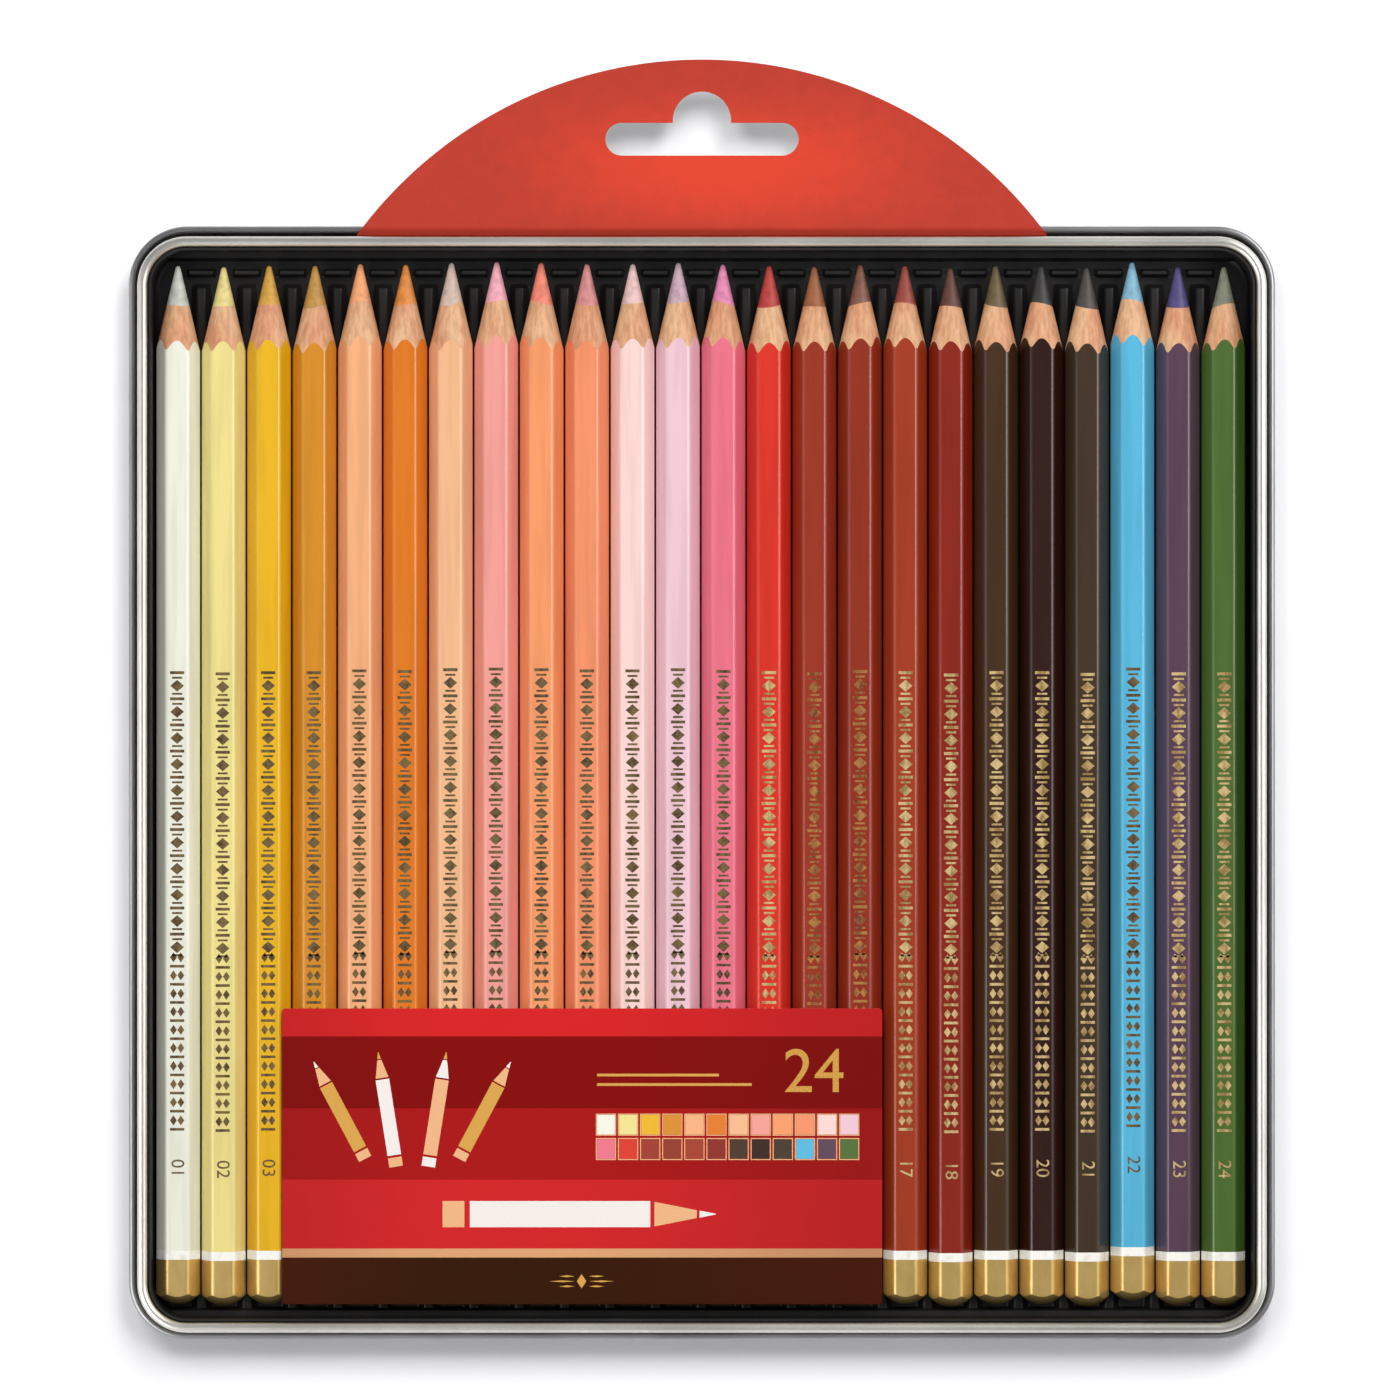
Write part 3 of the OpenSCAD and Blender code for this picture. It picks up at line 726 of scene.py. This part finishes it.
def dip_look(wire):
    """Gold dip: fine metal flakes in cloudy lacquer."""
    flake = wire.noise((7, 7, 7), 3, 0.7)
    cloud = wire.noise((0.4, 0.2, 0.4), 3)
    gold = cloud.step(0.3, 0.7).mix(paint(202, 170, 100), paint(216, 184, 114))
    return {"Base Color": (flake * 0.4).mix(gold, paint(176, 144, 84)),
            "Roughness": 0.34 + flake * 0.12,
            "Normal": wire.bump(flake, 0.12, 0.01)}


bare_wood = finish("bare_wood", wood_look)
white_ring = finish("white_ring", ring_look)
gold_dip = finish("gold_dip", dip_look, Metallic=0.7)
lacquers = [finish(f"lacquer_{k + 1:02d}", lacquer_look(levels)) for k, levels in enumerate(lacquer_levels)]
pencil_starts = np.stack([pencil_xs, casing_boxes[:, 0, 1], casing_boxes[:, :, 2].mean(1)], 1)
for k, name in enumerate(pencil_names):
    piece(f"{name}_wood", name, [casing_grid(cone_middles[k]) + pencil_starts[k]],
          [gold_dip, white_ring, lacquers[k], bare_wood], [f"{name}_casing"],
          parts=casing_parts, crease=30)

# The cores: rods of coloured pigment and wax, glued into the casings and sharpened with them, so that
# their cones continue the wood's and end in a blunt round tip.

core_levels = [
    (194, 196, 186), (222, 205, 132), (205, 155, 62), (186, 138, 64), (233, 157, 105), (216, 132, 56),
    (203, 178, 163), (233, 163, 176), (232, 128, 107), (207, 135, 133), (225, 186, 182), (192, 161, 173),
    (220, 130, 170), (178, 58, 52), (150, 90, 54), (120, 77, 62), (145, 64, 51), (92, 56, 46),
    (98, 84, 52), (54, 51, 50), (71, 66, 62), (127, 177, 200), (75, 67, 118), (122, 124, 106),
]


def core_look(levels):
    """Waxy pigment, a little cloudy, cut smooth by the sharpener with fine marks round it."""
    def look(wire):
        marks = wire.noise((0.7, 5, 0.7), 3)
        cloud = wire.noise((0.9, 0.9, 0.9), 3)
        colour = np.array(paint(*levels))
        shade = tuple(np.append(colour[:3] * 0.78, 1))
        return {"Base Color": cloud.step(0.3, 0.6).mix(shade, tuple(colour)),
                "Roughness": 0.46 + marks * 0.2,
                "Normal": wire.bump(marks, 0.3, 0.03)}
    return look


def core_grid(middle):
    """Rod inside the casing, then the cone round its own middle, and a ball's cap tangent to it."""
    turn = np.linspace(0, 2 * np.pi, 48, endpoint=False)
    unit = np.stack([np.cos(turn), np.sin(turn)], 1)
    rod, tip = unit * core_r, middle + unit * tip_r * np.cos(cone_lean)
    made = [row(rod, tail_cap)]
    for share in np.linspace(0, 1, 7):
        section = rod + share * (tip - rod)
        made.append(row(section, cone_reach(section, middle)))
    for rise in np.linspace(cone_lean, np.pi / 2, 6)[1:]:
        made.append(row(middle + unit * tip_r * np.cos(rise), pencil_len - tip_r + tip_r * np.sin(rise)))
    return capped(np.array(made))


for k, name in enumerate(pencil_names):
    pigment = finish(f"core_{k + 1:02d}", core_look(core_levels[k]))
    piece(f"{name}_pigment", name, [core_grid(cone_middles[k]) + pencil_starts[k]], [pigment],
          [f"{name}_core"], crease=30)

# The foil marks: metal foil pressed hot on each casing's top facet, as a band of plain lozenges and bars,
# with the pencil's place in the row as a number. The distances are from the tail.

wide_from, wide_to, wide_step = 106.4, 62, 4.4
wide_bar = (2.4, 0.5)
thin_bar = (1.7, 0.34)
thin_back = 0.85
wide_lozenge = (2.3, 2.0)
pairs_from, pairs_to, pairs_step = 58.5, 31, 3.05
pair_lozenge = (1.15, 1.7)
pair_off = 0.62
pair_bar = (2.4, 0.45)
pair_back = 1.5
number_at = 23.0
number_size = 3.1
foil_rise = 0.012
# The same gold foil on every pencil, coloured dark, dull or bright pencil by pencil: painted reflection, for how
# much light the foil mirrors on each.
foil_painted_reflections = ["painted_dark_reflection"] * 13 + ["gold", "dull", "dull"] + ["gold"] * 5 + ["painted_dark_reflection", "gold", "gold"]


def plates(name, body, outlines, low, high, look, tints=None):
    """Thin closed plates from outlines with the same number of corners, between two heights.

    tints gives each plate's own colour.
    """
    count, corners = outlines.shape[:2]
    points = np.stack([np.concatenate([outlines, np.full((count, corners, 1), z)], 2) for z in (low, high)], 1)
    number = np.arange(count)[:, None] * 2 * corners
    k = np.arange(corners)
    sides = np.stack([k, (k + 1) % corners, (k + 1) % corners + corners, k + corners], 1)
    faces = (number[:, :, None] + sides[None]).reshape(-1, 4).tolist()
    faces += (number + k[::-1]).tolist() + (number + corners + k).tolist()
    mesh = bpy.data.meshes.new(name)
    mesh.from_pydata((points.reshape(-1, 3) * mm).tolist(), [], faces)
    mesh.materials.append(look)
    if tints is not None:
        ink = mesh.attributes.new("ink", "FLOAT_COLOR", "POINT")
        ink.data.foreach_set("color", np.repeat(np.asarray(tints, float), 2 * corners, axis=0).ravel())
    return placed(name, mesh, body)


def numerals(text, size):
    """Flat outline of plain figures as a mesh of triangles, with its middle at the origin."""
    letters = bpy.data.curves.new(text, "FONT")
    letters.body = text
    letters.size = size * mm
    letters.align_x, letters.align_y = "CENTER", "CENTER"
    letters.extrude = foil_rise * mm
    shown = bpy.data.objects.new(text, letters)
    mesh = bpy.data.meshes.new_from_object(shown)
    bpy.data.objects.remove(shown)
    return mesh


def moved(mesh, turn, place):
    """Turns a mesh about Z by an angle in degrees and moves it to a place in millimetres."""
    corners = np.empty(len(mesh.vertices) * 3, np.float32)
    mesh.vertices.foreach_get("co", corners)
    c, s = np.cos(np.radians(turn)), np.sin(np.radians(turn))
    points = corners.reshape(-1, 3) @ np.array([[c, s, 0], [-s, c, 0], [0, 0, 1]]) + np.array(place) * mm
    mesh.vertices.foreach_set("co", points.astype(np.float32).ravel())
    return mesh


def foil_look(bright, dark, cover):
    """Gold foil: brushed bright and dark along the pencil, rubbed through to a dull tone in places."""
    def look(wire):
        sheen = wire.noise((0.8, 0.35, 0.8), 3)
        worn = wire.noise((2.4, 2.4, 2.4), 3, 0.6).step(cover, cover + 0.12)
        return {"Base Color": worn.mix(sheen.step(0.35, 0.65).mix(dark, bright), dark),
                "Roughness": 0.26 + worn * 0.3,
                "Metallic": 0.4 - worn * 0.3}
    return look


# Three colourings of one gold foil, darker or brighter as painted reflection.
foils = {"painted_dark_reflection": finish("foil_painted_dark_reflection", foil_look(paint(138, 116, 72), paint(92, 74, 48), 0.5)),
         "dull": finish("foil_painted_dim_reflection", foil_look(paint(200, 142, 78), paint(128, 70, 36), 0.5)),
         "gold": finish("foil_painted_bright_reflection", foil_look(paint(234, 206, 146), paint(166, 134, 80), 0.56))}


def bar(y, wide, tall):
    """Corners of a bar centred across the facet."""
    return rectangle(-wide / 2, y - tall / 2, wide, tall)


def lozenge(y, wide, tall, x=0.0):
    """Corners of a lozenge round (x, y)."""
    return [[x, y - tall / 2], [x + wide / 2, y], [x, y + tall / 2], [x - wide / 2, y]]


band = []
for y in np.arange(wide_from, wide_to, -wide_step):
    band += [bar(y, *wide_bar), bar(y - thin_back, *thin_bar), lozenge(y - wide_step / 2, *wide_lozenge),
             bar(y - wide_step + thin_back, *thin_bar)]
for y in np.arange(pairs_from, pairs_to, -pairs_step):
    band += [lozenge(y, *pair_lozenge, -pair_off), lozenge(y, *pair_lozenge, pair_off),
             bar(y - pair_back, *pair_bar)]
band = np.array(band)
for k, name in enumerate(pencil_names):
    facet = pencil_starts[k] + [0, 0, pencil_flats / 2 - dip_skin]
    foil = foils[foil_painted_reflections[k]]
    plates(f"{name}_foil", name, band + facet[:2], facet[2] - foil_rise, facet[2] + foil_rise, foil)
    figures = moved(numerals(f"{k + 1:02d}", number_size), -90, facet + [0, number_at, 0])
    figures.materials.append(foil)
    placed(f"{name}_number", figures, name)

# The label: a coated card printed in bands of red over a dark foot, with a plain figure, a chart of the
# row's colours, a few pencils and a small ornament. It lies loose on the middle of the row.

label_corner_r = 0.5
label_edge_r = 0.08
ink_rise = 0.01
chart_at = (53.0, 28.6)
swatch = (3.0, 3.3)
swatch_step = (3.72, 4.1)
frame_gap = 0.04
frame_line = 0.16
lines_t = 0.45
ornament = (50.4, 3.9)
figure_at = (89.5, 38.9)
figure_size = 10.5
band_blur = 0.04
bands = [(7.9, paint(47, 24, 2)), (9.4, paint(222, 164, 116)), (21.0, paint(208, 38, 40)),
         (33.0, paint(170, 22, 22)), (45.1, paint(132, 8, 6)), (60.0, paint(214, 36, 38))]
label_low, label_high = box_mm("label_card")
label_w, label_l, _ = label_high - label_low


def label_look(wire):
    """Offset print: flat bands, each up to its own height, a fine grain, and sides a little darker."""
    up = wire.along("Y") - label_low[1]
    across = (wire.along("X") - label_low[0]) * (1 / label_w)
    colour = bands[0][1]
    for (edge, _), (_, tint) in zip(bands, bands[1:]):
        colour = up.step(edge - band_blur, edge + band_blur).mix(colour, tint)
    grain = wire.noise((5, 5, 5), 3, 0.7)
    cloud = wire.noise((0.1, 0.1, 0.1), 3)
    # Darker towards both sides, and a little darker by the grain and the clouds.
    sides = across.step(0.45, 1.05) * 0.3 + (1 - across.step(-0.1, 0.3)) * 0.25
    darkening = sides + grain * 0.08 + cloud * 0.08
    return {"Base Color": darkening.mix(colour, paint(88, 14, 14)),
            "Roughness": 0.3 + grain * 0.12,
            "Normal": wire.bump(grain, 0.12, 0.01)}


def ink_look(wire):
    """Printed inks, each in its own colour, with the grain of the print."""
    grain = wire.noise((6, 6, 6), 3, 0.7)
    ink = wire.node("Attribute", out="Color", attribute_name="ink")
    return {"Base Color": (grain.step(0.45, 0.8) * 0.25).mix(ink, paint(60, 30, 26)),
            "Roughness": 0.3 + grain * 0.12}


def gold_ink_look(wire):
    """Gold ink: dull yellow with a little sheen."""
    grain = wire.noise((4, 4, 4), 3, 0.7)
    return {"Base Color": grain.step(0.3, 0.7).mix(paint(196, 136, 44), paint(226, 176, 84)),
            "Roughness": 0.34 + grain * 0.15}


label_print = finish("label_print", label_look, Specular_IOR_Level=0.1)
printed_ink = finish("printed_ink", ink_look)
gold_ink = finish("gold_ink", gold_ink_look, Metallic=0.25)
path, normals = round_outline(label_w - 2 * label_edge_r, label_l - 2 * label_edge_r, label_corner_r, 4)
path = path + (label_low[:2] + label_high[:2]) / 2
label_section = np.array([[0, label_low[2]], [label_edge_r, label_low[2] + label_edge_r],
                          [label_edge_r, label_high[2] - label_edge_r], [0, label_high[2]]])
piece("label", "label", [capped(carried(path, normals, label_section))], [label_print, card_core],
      ["label_card"], parts=[1, 1, 1, 0, 0], crease=30)

white, peach, gold = paint(240, 232, 226), paint(236, 178, 128), paint(214, 160, 70)
art, inks = [], []


def drawn(corners, ink):
    """Adds one four-cornered shape in one ink, in millimetres from the label's lower left corner."""
    art.append(corners)
    inks.append(ink)


def drawn_pencil(tail, tilt, length, width, body, cut, point):
    """A pencil seen from the side: ferrule, body, sharpened wood and point, one after the other."""
    way = np.array([np.cos(np.radians(tilt)), np.sin(np.radians(tilt))])
    side = np.array([-way[1], way[0]]) * width / 2
    stops = [(0, 1), (0.08, 1), (0.1, 1), (0.76, 1), (0.775, 0.94), (0.93, 0.3), (0.94, 0.27), (1, 0.03)]
    for (start, thick), (end, thin), ink in zip(stops[::2], stops[1::2], (cut, body, cut, point)):
        a, b = np.array(tail) + way * length * start, np.array(tail) + way * length * end
        drawn([a - side * thick, b - side * thin, b + side * thin, a + side * thick], ink)


frame_out = frame_gap + frame_line
for k, levels in enumerate(lacquer_levels):
    x, y = chart_at[0] + swatch_step[0] * (k % 12), chart_at[1] - swatch_step[1] * (k // 12)
    drawn(rectangle(x, y, *swatch), paint(*levels))
    for line_y in (y - frame_out, y + swatch[1] + frame_gap):
        drawn(rectangle(x - frame_out, line_y, swatch[0] + 2 * frame_out, frame_line), peach)
    for line_x in (x - frame_out, x + swatch[0] + frame_gap):
        drawn(rectangle(line_x, y - frame_gap / 2, frame_line, swatch[1] + frame_gap), peach)
drawn_pencil((14.0, 24.5), 118, 18.5, 2.3, gold, peach, white)
drawn_pencil((19.2, 23.2), 99, 19.5, 2.3, white, peach, gold)
drawn_pencil((24.6, 23.2), 81, 19.5, 2.3, peach, white, gold)
drawn_pencil((29.8, 24.5), 62, 18.5, 2.3, gold, peach, white)
drawn_pencil((27.0, 15.2), 0, 46.0, 4.4, white, peach, white)
for y, wide in ((37.0, 26.0), (38.6, 20.5)):
    drawn(rectangle(chart_at[0], y - lines_t / 2, wide, lines_t), gold)
for side in (-1, 1):
    for up, wide in ((0, 4.2), (0.85, 2.6), (-0.85, 2.6)):
        drawn(lozenge(ornament[1] + up, wide, 0.32, ornament[0] + side * (1.2 + wide / 2)), gold)
drawn(lozenge(ornament[1], 1.6, 2.4, ornament[0]), gold)
plates("label_drawings", "label", np.array(art) + label_low[:2],
       label_high[2] - ink_rise, label_high[2] + ink_rise, printed_ink, tints=inks)
figures = moved(numerals("24", figure_size), 0, [*(label_low[:2] + figure_at), label_high[2]])
figures.materials.append(gold_ink)
placed("label_figure", figures, "label")
